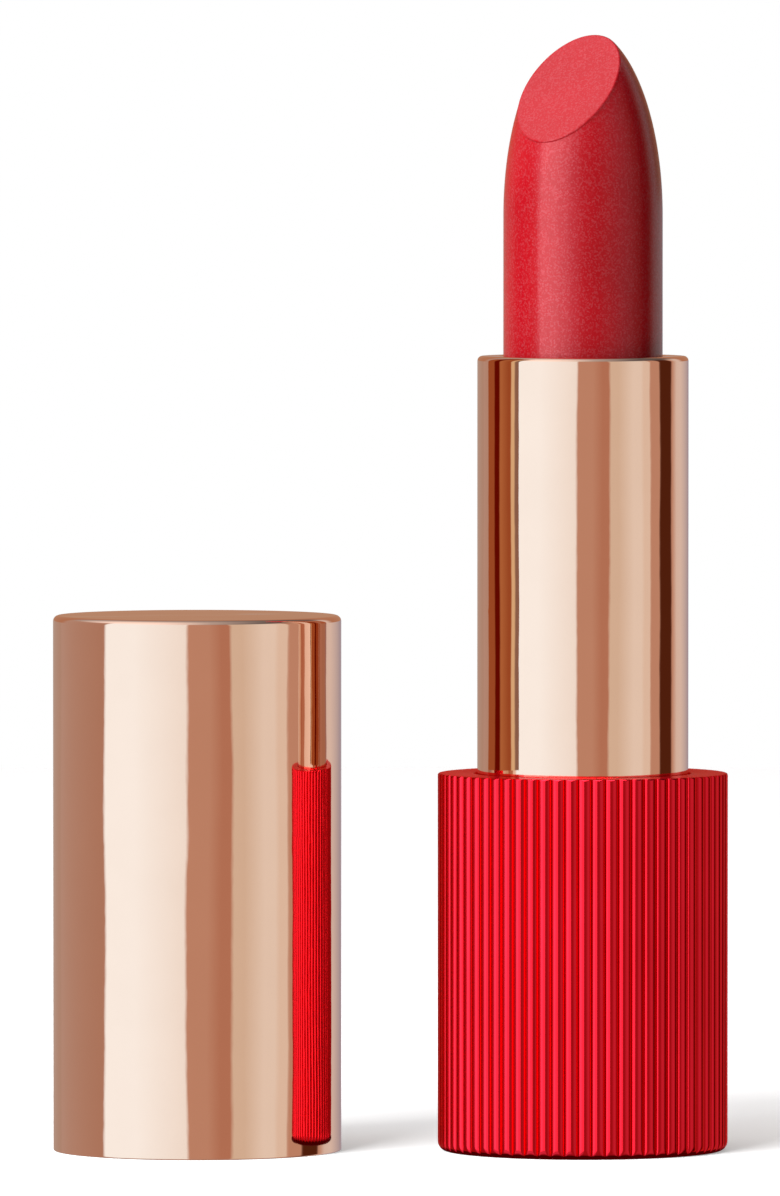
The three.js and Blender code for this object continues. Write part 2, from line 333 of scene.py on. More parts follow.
def turned_steel(name, axis_x):
    material, tree, where = start_finish(name)
    centred = add(tree, "Mapping", {"Location": (-axis_x, 0, 0)}, {"Vector": where})
    rings = add(tree, "TexWave", {
        "wave_type": "RINGS",
        "rings_direction": "SPHERICAL",
        "Scale": 2 * math.pi / WAVE_RADIANS / SHELL_PITCH,
        "Distortion": 0.3,
    }, {"Vector": centred.outputs["Vector"]})
    cut = add(tree, "Bump", {"Distance": 0.004 * MM, "Strength": 0.7},
              {"Height": rings.outputs["Fac"]})
    tone = add(tree, "ValToRGB", {"stops": [(0.0, "#a5a9ad"), (1.0, "#b4b7ba")]},
               {"Fac": rings.outputs["Fac"]})
    return end_finish(material, tree, {"Metallic": 1.0, "Roughness": 0.32}, {
        "Base Color": tone.outputs["Color"],
        "Normal": cut.outputs["Normal"],
    })


steel_of_base = turned_steel("steel_turned_base", size["base_weight"].middle)
steel_of_cap = turned_steel("steel_turned_cap", size["cap_weight"].middle)
print("finishes:", ", ".join(m.name for m in bpy.data.materials if m.users == 0))

# %% [markdown]
# ## Tools for round pieces
#
# Blender's spin operator is a lathe: it takes an outline and turns it about an axis. An outline here
# is a list of corners, each with its radius, its height and how much it is rounded. The corners
# are rounded after the spin by a bevel on that ring of edges, as a polishing wheel would take
# them off. A weighted-normal modifier keeps the big faces flat or truly round, so that a polished
# wall reflects a straight line as a straight line.

# %% Spin, round and finish
VISIBLE_ROUND = 240
HIDDEN_ROUND = 96
SHARP = math.radians(35)
TOUCHING = 1e-4


def ring_edges(bm, radius, height):
    """The edges of a piece that run round its axis at that radius and height."""
    def on_ring(vert):
        near = abs(math.hypot(vert.co.x, vert.co.y) - radius) < TOUCHING
        return near and abs(vert.co.z - height) < TOUCHING
    return [e for e in bm.edges if on_ring(e.verts[0]) and on_ring(e.verts[1])]


def turned(corners, steps=VISIBLE_ROUND, segments=5):
    """A round solid from (radius, height, rounding) corners. An outline that starts and ends on the
    axis stays open there, and any other one closes on itself."""
    bm = bmesh.new()
    points = [bm.verts.new((radius, 0, height)) for radius, height, _ in corners]
    pairs = list(zip(points, points[1:]))
    if corners[0][0] > 0:
        pairs.append((points[-1], points[0]))
    edges = [bm.edges.new(pair) for pair in pairs]
    bmesh.ops.spin(bm, geom=points + edges, cent=(0, 0, 0), axis=(0, 0, 1),
                   angle=2 * math.pi, steps=steps, use_merge=True)
    bmesh.ops.remove_doubles(bm, verts=bm.verts, dist=TOUCHING)
    for radius, height, rounding in corners:
        if rounding:
            bmesh.ops.bevel(bm, geom=ring_edges(bm, radius, height), offset=rounding,
                            offset_type="OFFSET", segments=segments, profile=0.5,
                            affect="EDGES", material=-1, clamp_overlap=True)
    return bm


def finish_piece(bm, name, finish, body, node, axis_x=0):
    """Makes the mesh an object in its place, smooth where it is round and crisp where it is cut."""
    bmesh.ops.remove_doubles(bm, verts=bm.verts, dist=TOUCHING)
    bmesh.ops.recalc_face_normals(bm, faces=bm.faces)
    bmesh.ops.translate(bm, verts=bm.verts, vec=(axis_x, 0, 0))
    bmesh.ops.scale(bm, verts=bm.verts, vec=(MM, MM, MM))
    mesh = bpy.data.meshes.new(name)
    bm.to_mesh(mesh)
    bm.free()
    mesh.shade_smooth()
    mesh.set_sharp_from_angle(angle=SHARP)
    mesh.materials.append(finish)
    piece = bpy.data.objects.new(name, mesh)
    bpy.context.scene.collection.objects.link(piece)
    weighted = piece.modifiers.new("flat stays flat", "WEIGHTED_NORMAL")
    weighted.keep_sharp = True
    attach(piece, body)
    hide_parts(node)
    low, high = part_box(node)
    spans = zip(piece.bound_box[0], piece.bound_box[6], low, high)
    off = max(max(abs(a - c), abs(b - d)) for a, b, c, d in spans) / MM
    print(f"{name}: {len(mesh.polygons)} faces, {off:.2f} mm off the CAD box at most")
    return piece


# %% [markdown]
# ## The ribbed sleeve
#
# The sleeve is an extruded aluminium profile, turned down at both ends. Sixty-six low, rounded ribs
# stand side by side with a narrow groove between them. Spinning can't make ribs, so the sleeve
# starts as a circle with fourteen points to each rib. The circle is extruded from level to level,
# up the outside, over the rim and down the bore, and at every level each point goes to its own
# radius: the rib's, or the turned end's where that is smaller. So the chamfer at the foot and the
# soft edge at the rim cut the ribs just as a lathe tool would, and leave scallops.

# %% Extruding through levels
def walls(segments, levels):
    """A wall extruded from a circle through (height, radius) levels. A radius is a number, or a
    rule that gives it from the angle."""
    bm = bmesh.new()
    ring = bmesh.ops.create_circle(bm, segments=segments, radius=1)["verts"]
    edges = bm.edges[:]
    for number, (height, radius) in enumerate(levels):
        if number:
            made = bmesh.ops.extrude_edge_only(bm, edges=edges)["geom"]
            ring = {item for item in made if isinstance(item, bmesh.types.BMVert)}
            edges = [item for item in made if isinstance(item, bmesh.types.BMEdge)
                     and item.verts[0] in ring and item.verts[1] in ring]
        for vert in ring:
            angle = math.atan2(vert.co.y, vert.co.x)
            reach = radius(angle) if callable(radius) else radius
            vert.co = (reach * math.cos(angle), reach * math.sin(angle), height)
    return bm, edges


# %% The rib's section
RIB_POINTS = 14
CREST_SLOPE = math.radians(42)
pitch = 2 * math.pi / RIBS
crest_half = (0.5 - 1 / RIB_POINTS) * pitch * sleeve.radius
crest_curve = crest_half / math.sin(CREST_SLOPE)
crest_drop = crest_curve * (1 - math.cos(CREST_SLOPE))
print(f"ribs {pitch * sleeve.radius:.2f} mm apart, round for {crest_drop:.2f} mm of their depth")


def rib(angle):
    """The radius of the ribbed outside at an angle: a round crest with a V groove each side."""
    from_groove = angle / pitch % 1
    across = abs(from_groove - 0.5) * pitch * sleeve.radius
    if across <= crest_half + TOUCHING:
        return sleeve.radius - crest_curve + math.sqrt(crest_curve ** 2 - across ** 2)
    share = (across - crest_half) / (pitch * sleeve.radius / 2 - crest_half)
    return sleeve.radius - crest_drop - share * (RIB_DEPTH - crest_drop)


def turned_down(limit):
    """The ribbed outside where a tool has turned it down to a limit."""
    return lambda angle: min(rib(angle), limit)


# %% Sleeve
FOOT_INSET = 0.65
FOOT_RISE = 0.75
RIM_EDGE = 0.16
WELL_EDGE = 0.08
END_STEPS = 8


def sleeve_levels():
    """The sleeve's levels: the foot's rounded chamfer, the ribs, the rim's edge and the bore."""
    yield 0, SLEEVE_BORE
    yield 0, sleeve.radius - FOOT_INSET
    for step in range(1, END_STEPS + 1):
        turn = math.radians(90) * step / END_STEPS
        limit = sleeve.radius - FOOT_INSET * (1 - math.sin(turn))
        yield FOOT_RISE * (1 - math.cos(turn)), turned_down(limit)
    for step in range(END_STEPS + 1):
        turn = math.radians(90) * step / END_STEPS
        limit = sleeve.radius - RIM_EDGE * (1 - math.cos(turn))
        yield sleeve.top - RIM_EDGE * (1 - math.sin(turn)), turned_down(limit)
    yield sleeve.top, WELL_RADIUS
    yield sleeve.top - RIM_THICKNESS, WELL_RADIUS
    yield sleeve.top - RIM_THICKNESS, SLEEVE_BORE
    yield 0, SLEEVE_BORE


ribbed, _ = walls(RIBS * RIB_POINTS, list(sleeve_levels()))
bmesh.ops.remove_doubles(ribbed, verts=ribbed.verts, dist=TOUCHING)
bmesh.ops.bevel(ribbed, geom=ring_edges(ribbed, WELL_RADIUS, sleeve.top), offset=WELL_EDGE,
                offset_type="OFFSET", segments=3, profile=0.5, affect="EDGES", material=-1)
finish_piece(ribbed, "ribbed_sleeve", red_anodised, "case_base", "base_sleeve")

# %% [markdown]
# ## The tube
#
# The tube is drawn from one disc of aluminium, and its mouth is rolled over into a thin lip that
# hides the mechanism and wipes close to the bullet. It is polished after rolling, so the mouth has
# a soft, full round where the reflections bend, and the inside of the lip a smaller one.

# %% Tube
MOUTH_EDGE = 0.38
polished_tube = turned([
    (TUBE_BORE, tube.bottom, 0.05),
    (tube.radius, tube.bottom, 0.1),
    (tube.radius, tube.top, MOUTH_EDGE),
    (LIP_RADIUS, tube.top, 0.14),
    (LIP_RADIUS, tube.top - LIP_THICKNESS, 0.1),
    (TUBE_BORE, tube.top - LIP_THICKNESS, 0),
], segments=8)
finish_piece(polished_tube, "polished_tube", rose_gold, "turning_tube", "shell_tube")

# %% [markdown]
# ## The bullet
#
# A bullet mould is a round pocket with an elliptical end and a slanting blade across it. Here the
# rounded stick is spun first and a plane then cuts it, which is quicker and truer than modelling
# the slant by hand. The plane cuts a little low, and the new face is then inset and raised in
# small steps of a quarter circle, which leaves the soft rim of cast wax.

# %% Cast stick
NOSE_LENGTH = 14.2
CUT_REACH = 1.6
CUT_ANGLE = math.radians(48)
CUT_BEARING = math.radians(-124)
NOSE_STEPS = 40
shoulder = wax.top - NOSE_LENGTH * math.sqrt(1 - (CUT_REACH / wax.radius) ** 2)
quarter = [math.radians(90) * step / NOSE_STEPS for step in range(NOSE_STEPS)]
nose = [(wax.radius * math.cos(turn), shoulder + NOSE_LENGTH * math.sin(turn), 0)
        for turn in quarter]
bullet = turned([(0, wax.bottom, 0), (wax.radius, wax.bottom, 0), *nose,
                 (0, shoulder + NOSE_LENGTH, 0)])
print(f"the nose starts {shoulder:.1f} mm up")

# %% Slant cut
CUT_EDGE = 0.16
EDGE_STEPS = 4
slant = Matrix.Rotation(CUT_BEARING, 3, "Z") @ Matrix.Rotation(CUT_ANGLE, 3, "Y")
facing = slant @ Vector((0, 0, 1))
top_edge = Matrix.Rotation(CUT_BEARING, 3, "Z") @ Vector((-CUT_REACH, 0, wax.top))
bmesh.ops.bisect_plane(bullet, geom=bullet.verts[:] + bullet.edges[:] + bullet.faces[:],
                       plane_co=top_edge - facing * CUT_EDGE, plane_no=facing, clear_outer=True)
rim = [edge for edge in bullet.edges if edge.is_boundary]
bmesh.ops.remove_doubles(bullet, verts=list({v for e in rim for v in e.verts}), dist=0.02)
rim = [edge for edge in bullet.edges if edge.is_boundary]
face = bmesh.ops.contextual_create(bullet, geom=rim)["faces"]
bmesh.ops.recalc_face_normals(bullet, faces=bullet.faces)
for step in range(EDGE_STEPS):
    start = math.radians(90) * step / EDGE_STEPS
    end = math.radians(90) * (step + 1) / EDGE_STEPS
    bmesh.ops.inset_region(bullet, faces=face, use_even_offset=True,
                           thickness=CUT_EDGE * (math.cos(start) - math.cos(end)),
                           depth=CUT_EDGE * (math.sin(end) - math.sin(start)))
finish_piece(bullet, "wax_bullet", lipstick_wax, "bullet_carrier", "bullet")

# %% [markdown]
# ## The cap
#
# The cap is drawn and polished like the tube, in one piece with its flat top. Its closed end has a
# small round edge and its open end is trimmed and only just broken.

# %% Cap shell
polished_cap = turned([
    (0, cap.top - CAP_ROOF, 0),
    (cap.radius - CAP_WALL, cap.top - CAP_ROOF, 0.2),
    (cap.radius - CAP_WALL, cap.bottom, 0.08),
    (cap.radius, cap.bottom, 0.12),
    (cap.radius, cap.top, 0.45),
    (0, cap.top, 0),
], segments=8)
finish_piece(polished_cap, "polished_cap", rose_gold, "cap", "cap_shell", cap.middle)

# %% [markdown]
# ## Inside the cap
#
# A moulded liner grips the tube: six long ribs inside touch it, and eight fins outside centre the
# liner in the shell. Both are straight along the height, so the wall is extruded through levels
# again, with a rule that pushes the points at a rib or a fin in or out. A steel disc above it
# gives the cap some weight.

# %% Cap liner
liner = size["cap_liner"]
LINER_POINTS = 360
FIN_COUNT = 8
GRIP_COUNT = 6
FIN_HALF = math.radians(2.5)
GRIP_HALF = math.radians(4.2)


def at_one_of(count, half_width):
    """A rule that says whether an angle falls on one of that many ribs, spaced evenly."""
    apart = 2 * math.pi / count
    return lambda angle: abs((angle + apart / 2) % apart - apart / 2) < half_width + TOUCHING


on_fin = at_one_of(FIN_COUNT, FIN_HALF)
on_grip = at_one_of(GRIP_COUNT, GRIP_HALF)


def finned(angle):
    return FIN_REACH if on_fin(angle) else LINER_RADIUS


def gripping(angle):
    return GRIP_REACH if on_grip(angle) else LINER_BORE


liner_roof = liner.top - LINER_ROOF
flange_top = liner.bottom + LINER_FLANGE
liner_wall, top_ring = walls(LINER_POINTS, [
    (liner_roof, LINER_BORE),
    (flange_top + GRIP_LENGTH, LINER_BORE),
    (flange_top + GRIP_LENGTH, gripping),
    (flange_top, gripping),
    (flange_top, LINER_BORE),
    (liner.bottom, LINER_BORE),
    (liner.bottom, FIN_REACH),
    (flange_top, FIN_REACH),
    (flange_top, finned),
    (liner.top, finned),
    (liner.top, LINER_BORE),
])
bmesh.ops.contextual_create(liner_wall, geom=top_ring)
bmesh.ops.remove_doubles(liner_wall, verts=liner_wall.verts, dist=TOUCHING)
bmesh.ops.contextual_create(liner_wall, geom=[e for e in liner_wall.edges if e.is_boundary])
finish_piece(liner_wall, "cap_inner", black_plastic, "cap", "cap_liner",
             cap.middle)

# %% Cap weight
disc = size["cap_weight"]
ballast = turned([
    (0, disc.bottom, 0),
    (disc.radius, disc.bottom, 0.2),
    (disc.radius, disc.top, 0.2),
    (0, disc.top, 0),
], HIDDEN_ROUND, 3)
finish_piece(ballast, "cap_ballast", steel_of_cap, "cap", "cap_weight", cap.middle)

# %% [markdown]
# ## Inside the base
#
# A black moulding fills the sleeve. It holds the well that the tube turns in, the socket of the
# mechanism, and underneath a pocket for a steel slug that keeps the case from toppling. A disc
# closes the foot: it has a shallow recess, where a shade label would go, and is left blank.

# %% Holder, slug and foot
holder = size["base_insert"]
slug = size["base_weight"]
foot = size["foot_disc"]
SOCKET_THICKNESS = 1.2
SOCKET_BASE = SOCKET_FLOOR - SOCKET_THICKNESS
LABEL_RADIUS = 8.4
LABEL_DEPTH = 0.15
well = turned([
    (0, SOCKET_BASE, 0),
    (WEIGHT_POCKET, SOCKET_BASE, 0),
    (WEIGHT_POCKET, holder.bottom, 0.2),
    (holder.radius, holder.bottom, 0.2),
    (holder.radius, holder.top, 0.2),
    (WELL_RADIUS, holder.top, 0.1),
    (WELL_RADIUS, WELL_FLOOR, 0),
    (SOCKET_RADIUS, WELL_FLOOR, 0.15),
    (SOCKET_RADIUS, SOCKET_FLOOR, 0),
    (0, SOCKET_FLOOR, 0),
], HIDDEN_ROUND, 3)
finish_piece(well, "base_well", black_plastic, "case_base", "base_insert")

slug_turned = turned([
    (0, slug.bottom, 0),
    (slug.radius, slug.bottom, 0.3),
    (slug.radius, slug.top, 0.3),
    (0, slug.top, 0),
], HIDDEN_ROUND, 3)
finish_piece(slug_turned, "base_slug", steel_of_base, "case_base", "base_weight")

foot_cover = turned([
    (0, foot.bottom + LABEL_DEPTH, 0),
    (LABEL_RADIUS, foot.bottom + LABEL_DEPTH, 0),
    (LABEL_RADIUS, foot.bottom, 0.05),
    (foot.radius, foot.bottom, 0.15),
    (foot.radius, foot.top, 0.1),
    (0, foot.top, 0),
], HIDDEN_ROUND, 3)
finish_piece(foot_cover, "foot_cover", black_plastic, "case_base", "foot_disc")

# %% [markdown]
# ## The mechanism
#
# Two sleeves, one inside the other, lift the bullet. The inner one stands still and has two straight
# slots, and the outer one turns with the tube and has two helical ones. A lug on each side of the
# bullet's cup runs through both, so it can only climb. Each sleeve starts as a sheet spun from an
# upright line, its slots are faces taken out, and solidify gives it a wall. The helical sleeve is
# the same thing, twisted: a round wall keeps its shape when it is twisted, and only the slots wind.
# The standing sleeve also has a flange near its foot, spun as two halves that leave the slots open.

# %% Slotted sleeves
def slotted_sleeve(bore, piece, slot, half_angle, steps, level_height, turns=0):
    """A round wall with a slot on each side, along Y. slot gives its bottom and top, and turns
    is how far the wall is twisted between them."""
    low, high = slot
    heights = [piece.bottom, piece.top]
    count = math.ceil((high - low) / level_height)
    heights += [low + (high - low) * i / count for i in range(count + 1)]
    heights.sort()
    sheet = bmesh.new()
    points = [sheet.verts.new((bore, 0, height)) for height in heights]
    edges = [sheet.edges.new(pair) for pair in zip(points, points[1:])]
    bmesh.ops.spin(sheet, geom=points + edges, cent=(0, 0, 0), axis=(0, 0, 1),
                   angle=2 * math.pi, steps=steps, use_merge=True)
    bmesh.ops.remove_doubles(sheet, verts=sheet.verts, dist=TOUCHING)

    def in_slot(panel):
        middle = panel.calc_center_median()
        from_y = math.atan2(abs(middle.x), abs(middle.y))
        return from_y < half_angle and low < middle.z < high

    window = [panel for panel in sheet.faces if in_slot(panel)]
    bmesh.ops.delete(sheet, geom=window, context="FACES")
    bmesh.ops.recalc_face_normals(sheet, faces=sheet.faces)
    outward = sheet.faces[:][0].normal.dot(sheet.faces[:][0].calc_center_median()) > 0
    wall = piece.radius - bore
    bmesh.ops.solidify(sheet, geom=sheet.faces[:], thickness=-wall if outward else wall)
    for vert in sheet.verts:
        part_up = (vert.co.z - high) / (high - low)
        turn = Matrix.Rotation(2 * math.pi * turns * part_up, 3, "Z")
        vert.co = turn @ vert.co
    return sheet


# %% Guide tube and spiral sleeve
LUG_RADIUS = 0.95
LUG_ROOM = 1.07
LUG_HEIGHT = 1.0
TRAVEL = -frame["joints"][1]["range_m"][0] / MM
TURNS = 1.25
cup = size["bullet_cup"]
guide = size["guide_tube"]
spiral = size["spiral_sleeve"]
GUIDE_RADIUS = 7.01
FLANGE_BOTTOM = 21.75
FLANGE_TOP = 22.55
GUIDE_SLOT_HALF = math.radians(9)
GUIDE_STEPS = 120
FLANGE_STEPS = 50
SPIRAL_SLOT_HALF = math.radians(20)
SPIRAL_STEPS = 72
SPIRAL_LEVEL = 0.5
slot = (cup.bottom + LUG_HEIGHT - TRAVEL - LUG_ROOM, cup.bottom + LUG_HEIGHT + LUG_ROOM)

guide_wall = slotted_sleeve(GUIDE_BORE, guide._replace(radius=GUIDE_RADIUS), slot,
                            GUIDE_SLOT_HALF, GUIDE_STEPS, TRAVEL)
for side in (0, math.pi):
    half = bmesh.new()
    corners = [(GUIDE_RADIUS, FLANGE_BOTTOM), (guide.radius, FLANGE_BOTTOM),
               (guide.radius, FLANGE_TOP), (GUIDE_RADIUS, FLANGE_TOP)]
    from_y = side + GUIDE_SLOT_HALF - math.radians(90)
    points = [half.verts.new((r * math.cos(from_y), r * math.sin(from_y), z)) for r, z in corners]
    outline = half.faces.new(points)
    bmesh.ops.spin(half, geom=[outline], cent=(0, 0, 0), axis=(0, 0, 1),
                   angle=math.pi - 2 * GUIDE_SLOT_HALF, steps=FLANGE_STEPS)
    ends = bpy.data.meshes.new("flange")
    half.to_mesh(ends)
    half.free()
    guide_wall.from_mesh(ends)
    bpy.data.meshes.remove(ends)
finish_piece(guide_wall, "guide_sleeve", white_acetal, "case_base", "guide_tube")

spiral_wall = slotted_sleeve(SPIRAL_BORE, spiral, slot, SPIRAL_SLOT_HALF, SPIRAL_STEPS,
                             SPIRAL_LEVEL, TURNS)
finish_piece(spiral_wall, "spiral_slots", white_acetal, "turning_tube", "spiral_sleeve")

# %% [markdown]
# ## The cup and the small rings
#
# The cup holds the bullet by its foot and carries the two lugs. Two more rings finish the
# mechanism: one snaps on top of the guide tube and keeps the turning parts on it, and a silicone
# ring rubs inside the tube, so that the twist feels damped and the bullet stays where it is set.

# %% Cup, snap ring and drag ring
CUP_RADIUS = 6.46
LUG_INSET = 0.1
cup_body = turned([
    (0, cup.bottom, 0),
    (CUP_RADIUS, cup.bottom, 0.2),
    (CUP_RADIUS, cup.top, 0.1),
    (CUP_BORE, cup.top, 0.1),
    (CUP_BORE, cup.bottom + CUP_FLOOR, 0),
    (0, cup.bottom + CUP_FLOOR, 0),
], HIDDEN_ROUND, 3)
reach = cup.radius - CUP_BORE - LUG_INSET
for side in (1, -1):
    place = Matrix.Translation((0, side * (cup.radius - reach / 2), cup.bottom + LUG_HEIGHT))
    bmesh.ops.create_cone(cup_body, cap_ends=True, segments=24, radius1=LUG_RADIUS,
                          radius2=LUG_RADIUS, depth=reach,
                          matrix=place @ Matrix.Rotation(math.radians(90), 4, "X"))
finish_piece(cup_body, "wax_cup", white_acetal, "bullet_carrier", "bullet_cup")

snap = size["snap_ring"]
snap_body = turned([
    (SNAP_BORE, snap.bottom, 0.05),
    (snap.radius, snap.bottom, 0.1),
    (snap.radius, snap.top, 0.1),
    (SNAP_BORE, snap.top, 0.05),
], HIDDEN_ROUND, 3)
finish_piece(snap_body, "retaining_ring", white_acetal, "case_base", "snap_ring")

drag = size["drag_ring"]
drag_radius = drag.radius - DRAG_RING_THICKNESS / 2
drag_body = bmesh.new()
section = Matrix.Translation((drag_radius, 0, (drag.bottom + drag.top) / 2))
bmesh.ops.create_circle(drag_body, segments=20, radius=DRAG_RING_THICKNESS / 2,
                        matrix=section @ Matrix.Rotation(math.radians(90), 4, "X"))
bmesh.ops.spin(drag_body, geom=drag_body.verts[:] + drag_body.edges[:], cent=(0, 0, 0),
               axis=(0, 0, 1), angle=2 * math.pi, steps=HIDDEN_ROUND, use_merge=True)
finish_piece(drag_body, "drag_o_ring", silicone, "case_base", "drag_ring")

# %% [markdown]
# ## The studio
#
# Polished metal shows its surroundings, so the surroundings are the design. A round tube squeezes
# the whole room into upright stripes, and a photographer places white, tan and black cards so that
# those stripes describe the form. The cards here are flat colours in one ramp, read by compass
# direction: 0 is in front, -90 to the left and 90 to the right. Where two cards stand apart, the
# ramp fades from one to the next.

# %% Cards round the table
CARD_LIGHT = 2.0
WHITE = "#c4deec"
CREAM = "#bcced6"
PALE = "#b0b6b4"
LINEN = "#acaca6"
TAN = "#a4a298"
BROWN = "#92786a"
UMBER = "#8a6858"
CLAY = "#866e62"
NEAR_BLACK = "#3c1c0e"
WARM_GREY = "#86766c"
SMOKE = "#8a7a72"
GREY = "#a6a4a2"
DUSK = "#7c747a"
CARDS = [
    # from, to, colour of the card, half as bright as it shines
    (-180, -142, WARM_GREY),
    (-140, -136, SMOKE),
    (-84, -80, CLAY),
    (-78, -50, WHITE),
    (-10, -8, CREAM),
    (-6, 10, BROWN),
    (20, 27, UMBER),
    (29, 38, TAN),
    (56, 66, PALE),
    (70, 78, LINEN),
    (79, 92, BROWN),
    (93, 112, NEAR_BLACK),
    (114, 115, BROWN),
    (124, 134, GREY),
    (163, 180, DUSK),
]


def flat_bands(bands, low, high):
    """Colour ramp stops for flat (from, to, colour) bands on a scale from low to high."""
    return [((edge - low) / (high - low), colour)
            for start, end, colour in bands for edge in (start, end)]


world = bpy.data.worlds.new("studio")
bpy.context.scene.world = world
world.use_nodes = True
room = world.node_tree
room.nodes.clear()
direction = add(room, "TexCoord").outputs["Generated"]
axes = add(room, "SeparateXYZ", {}, {"Vector": direction}).outputs
forward = add(room, "Math", {"operation": "MULTIPLY", 1: -1.0}, {0: axes["Y"]})
bearing = add(room, "Math", {"operation": "ARCTAN2"}, {0: axes["X"], 1: forward.outputs[0]})
around = add(room, "MapRange", {"From Min": -math.pi, "From Max": math.pi},
             {"Value": bearing.outputs[0]})
stops = flat_bands(CARDS, -180, 180)
cards = add(room, "ValToRGB", {"stops": stops}, {"Fac": around.outputs["Result"]})
card_light = add(room, "Background", {"Strength": CARD_LIGHT}, {"Color": cards.outputs["Color"]})
print(len(CARDS), "cards in the ring")

# %% [markdown]
# Above the cards a soft light fills in from the front left. A warm wall behind and a warm grey
# ground below, both out of the picture, keep edges and undersides from mirroring black.

# %% Sky, wall and ground
KEY = Vector((-0.72, -0.42, 0.55)).normalized()
CARD_TOP = math.sin(math.radians(24))
SKY_BOTTOM = math.sin(math.radians(40))
CARD_BOTTOM = math.sin(math.radians(-32))
BELOW_TOP = math.sin(math.radians(-50))
WALL_SIDE = 0.62
WALL_MIDDLE = 0.78
WALL_FOOT = 0.02
SKY_LIGHT = 2.0
SKY = [(0.0, "#303234"), (0.5, "#4a4c4e"), (0.78, "#8c8e90"), (1.0, "#d4d7da")]

towards = add(room, "VectorMath", {"operation": "DOT_PRODUCT", 1: KEY}, {0: direction})
nearness = add(room, "MapRange", {"From Min": -1.0}, {"Value": towards.outputs["Value"]})
sky = add(room, "ValToRGB", {"stops": SKY}, {"Fac": nearness.outputs["Result"]})
sky_light = add(room, "Background", {"Strength": SKY_LIGHT}, {"Color": sky.outputs["Color"]})
height = add(room, "MapRange", {
    "interpolation_type": "SMOOTHSTEP",
    "From Min": CARD_TOP,
    "From Max": SKY_BOTTOM,
}, {"Value": axes["Z"]})
upper = add(room, "MixShader", {}, {
    0: height.outputs["Result"],
    1: card_light.outputs[0],
    2: sky_light.outputs[0],
})
behind = add(room, "MapRange", {
    "interpolation_type": "SMOOTHSTEP",
    "From Min": WALL_SIDE,
    "From Max": WALL_MIDDLE,
}, {"Value": axes["Y"]})
above = add(room, "MapRange", {"From Min": 0.0, "From Max": WALL_FOOT}, {"Value": axes["Z"]})
wall = add(room, "Math", {"operation": "MULTIPLY"}, {
    0: behind.outputs["Result"],
    1: above.outputs["Result"],
})
wall_light = add(room, "Background", {"Color": linear("#b88a6e"), "Strength": 1.0})
upper = add(room, "MixShader", {}, {
    0: wall.outputs[0],
    1: upper.outputs[0],
    2: wall_light.outputs[0],
})
depth = add(room, "MapRange", {
    "interpolation_type": "SMOOTHSTEP",
    "From Min": CARD_BOTTOM,
    "From Max": BELOW_TOP,
}, {"Value": axes["Z"]})
below = add(room, "Background", {"Color": linear("#b09a8c"), "Strength": 1.0})
studio = add(room, "MixShader", {}, {
    0: depth.outputs["Result"],
    1: upper.outputs[0],
    2: below.outputs[0],
})

# %% [markdown]
# The camera itself should see plain white behind the case, whatever the cards look like. A Light
# Path node tells the camera's own rays from the rest.

# %% White behind
white = add(room, "Background", {"Color": linear("#ffffff")})
seen = add(room, "MixShader", {}, {
    0: add(room, "LightPath").outputs["Is Camera Ray"],
    1: studio.outputs[0],
    2: white.outputs[0],
})
add(room, "OutputWorld", {}, {"Surface": seen.outputs[0]})

# %% [markdown]
# ## The table and the camera
#
# The table is matt white paper, lit a little from below, so it glows. The metal doesn't mirror it,
# so that the stripes run to the foot. The camera stands far off with a long lens, as for a
# catalogue picture, which keeps upright things upright. The picture is taller than it is wide, so
# the sensor's 36 mm run along its height.

# %% Table
TABLE_RADIUS = 600
TABLE_GLOW = 0.36
paper, paper_tree, paper_place = start_finish("table_paper")
fibres = add(paper_tree, "TexNoise", {"Scale": 1 / 3, "Detail": 4.0}, {"Vector": paper_place})
tint = add(paper_tree, "ValToRGB", {"stops": [(0.3, "#f3f3f3"), (0.7, "#f5f5f5")]},
           {"Fac": fibres.outputs["Fac"]})
end_finish(paper, paper_tree, {
    "Roughness": 0.9,
    "Specular IOR Level": 0.1,
    "Emission Color": linear("#ffffff"),
    "Emission Strength": TABLE_GLOW,
}, {"Base Color": tint.outputs["Color"]})


def studio_thing(bm, name, finish):
    """Makes a mesh of the studio, which is in metres already, an object with its finish."""
    mesh = bpy.data.meshes.new(name)
    bm.to_mesh(mesh)
    bm.free()
    mesh.materials.append(finish)
    thing = bpy.data.objects.new(name, mesh)
    bpy.context.scene.collection.objects.link(thing)
    return thing


table_mesh = bmesh.new()
bmesh.ops.create_circle(table_mesh, cap_ends=True, segments=128, radius=TABLE_RADIUS * MM)
table = studio_thing(table_mesh, "table", paper)
table.visible_glossy = False
table.visible_diffuse = False

# %% [markdown]
# ## A striped card between the cap and the tube
#
# A polished tube mirrors what stands next to it. A narrow card, striped like a polished cap in the
# dark, stands between the two and gives the tube's left side its dark stripes, from the base to
# the mouth. It glows on its right side only, and its other side is clear, so that the cap mirrors
# the tube past it. Neither the camera nor the table sees it.

